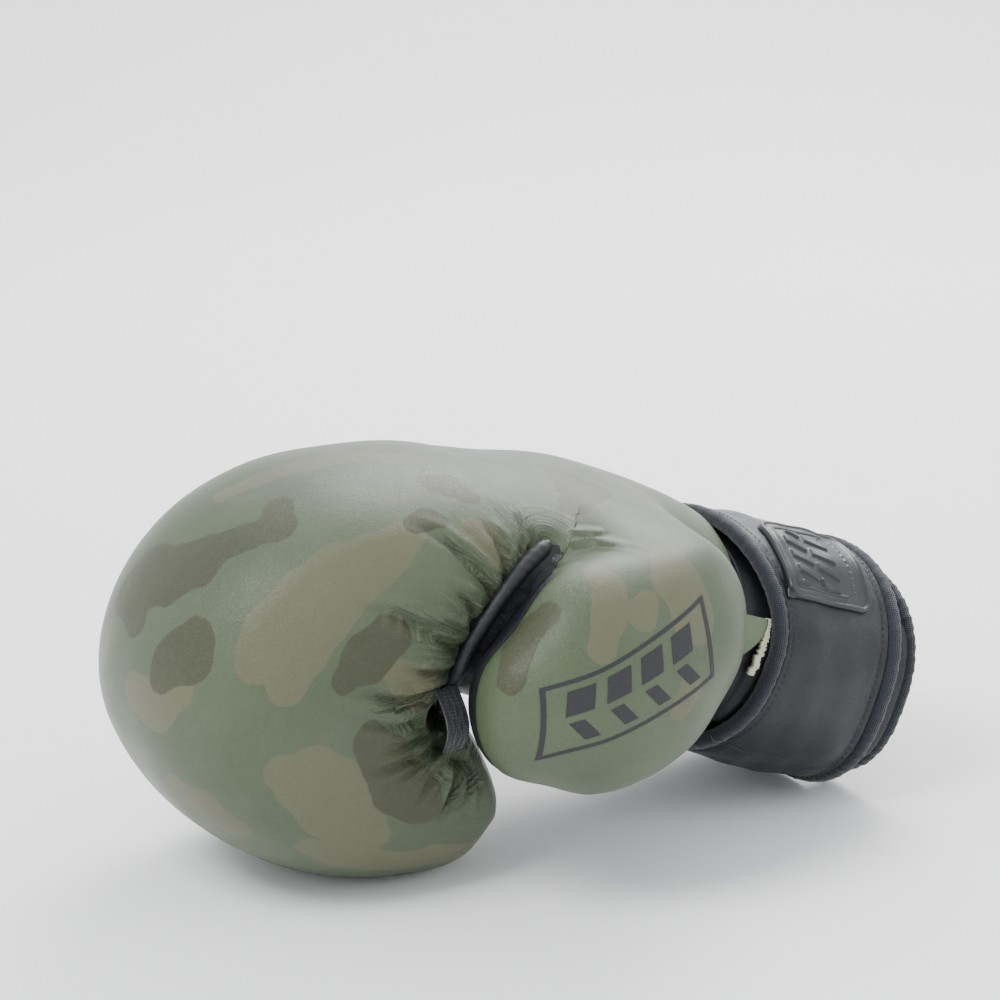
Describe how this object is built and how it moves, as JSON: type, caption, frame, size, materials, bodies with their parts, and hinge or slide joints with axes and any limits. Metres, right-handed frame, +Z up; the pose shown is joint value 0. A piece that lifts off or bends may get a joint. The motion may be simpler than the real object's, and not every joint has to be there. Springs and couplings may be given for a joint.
{
  "type": "boxing glove",
  "caption": "Padded boxing glove with curled fingers, attached thumb pocket and a wide hook-and-loop wrist strap, lying palm down.",
  "frame": {"origin": "on the table, under the middle of the whole glove's box", "axes": "+X from the knuckles towards the cuff, +Z up from the table, thumb on the -Y side, palm down"},
  "size_m": [0.3012, 0.1677, 0.1442],
  "materials": {
    "camo_leather": "soft satin coated leather in three shades of green, olive and khaki",
    "black_leather": "smooth satin black leather",
    "padding_foam": "moulded foam padding",
    "lining_fabric": "brushed black lining",
    "binding_fabric": "woven matt binding",
    "webbing": "ribbed woven webbing",
    "loop_pile": "soft loop pile",
    "hook_tape": "stiff hook tape",
    "patch_rubber": "satin moulded rubber with a raised border"
  },
  "bodies": {
    "hand": {"back_panel": "camo_leather", "palm_panel": "black_leather", "knuckle_foam_outer": "padding_foam", "knuckle_foam_inner": "padding_foam", "palm_foam": "padding_foam", "hand_lining": "lining_fabric", "finger_piping": "black_leather", "grip_bar": "lining_fabric", "thumb_tab": "camo_leather", "thumb_loop": "webbing", "cuff_shell": "black_leather", "cuff_foam": "padding_foam", "cuff_lining": "lining_fabric", "cuff_binding": "binding_fabric", "strap_root": "black_leather", "strap_root_front_binding": "binding_fabric", "strap_root_rear_binding": "binding_fabric", "loop_tape": "loop_pile"},
    "thumb": {"thumb_outer_panel": "camo_leather", "thumb_inner_panel": "black_leather", "thumb_outer_foam": "padding_foam", "thumb_inner_foam": "padding_foam", "thumb_lining": "lining_fabric", "thumb_piping": "black_leather"},
    "strap_middle": {"strap_middle": "black_leather", "strap_middle_front_binding": "binding_fabric", "strap_middle_rear_binding": "binding_fabric"},
    "strap_end": {"strap_end": "black_leather", "strap_end_front_binding": "binding_fabric", "strap_end_rear_binding": "binding_fabric", "hook_tape": "hook_tape", "strap_patch": "patch_rubber"}
  },
  "joints": [
    {"name": "thumb_hinge", "type": "hinge", "parent": "hand", "child": "thumb", "pos_m": [0.0462, -0.0298, 0.09], "axis": [0.3437, 0, 0.9391], "range_deg": [0, 6], "stiffness_Nm_per_rad": 0.6},
    {"name": "strap_middle_hinge", "type": "hinge", "parent": "hand", "child": "strap_middle", "pos_m": [0.08015, 0.03913, 0.01266], "axis": [0.9306, 0.0135, -0.3658], "range_deg": [0, 44]},
    {"name": "strap_end_hinge", "type": "hinge", "parent": "strap_middle", "child": "strap_end", "pos_m": [0.09984, -0.02792, 0.06645], "axis": [0.9408, -0.0398, -0.3366], "range_deg": [0, 110]}
  ],
  "couplings": [
    {"joint": "strap_middle_hinge", "follows": "strap_end_hinge", "ratio": 0.4}
  ]
}
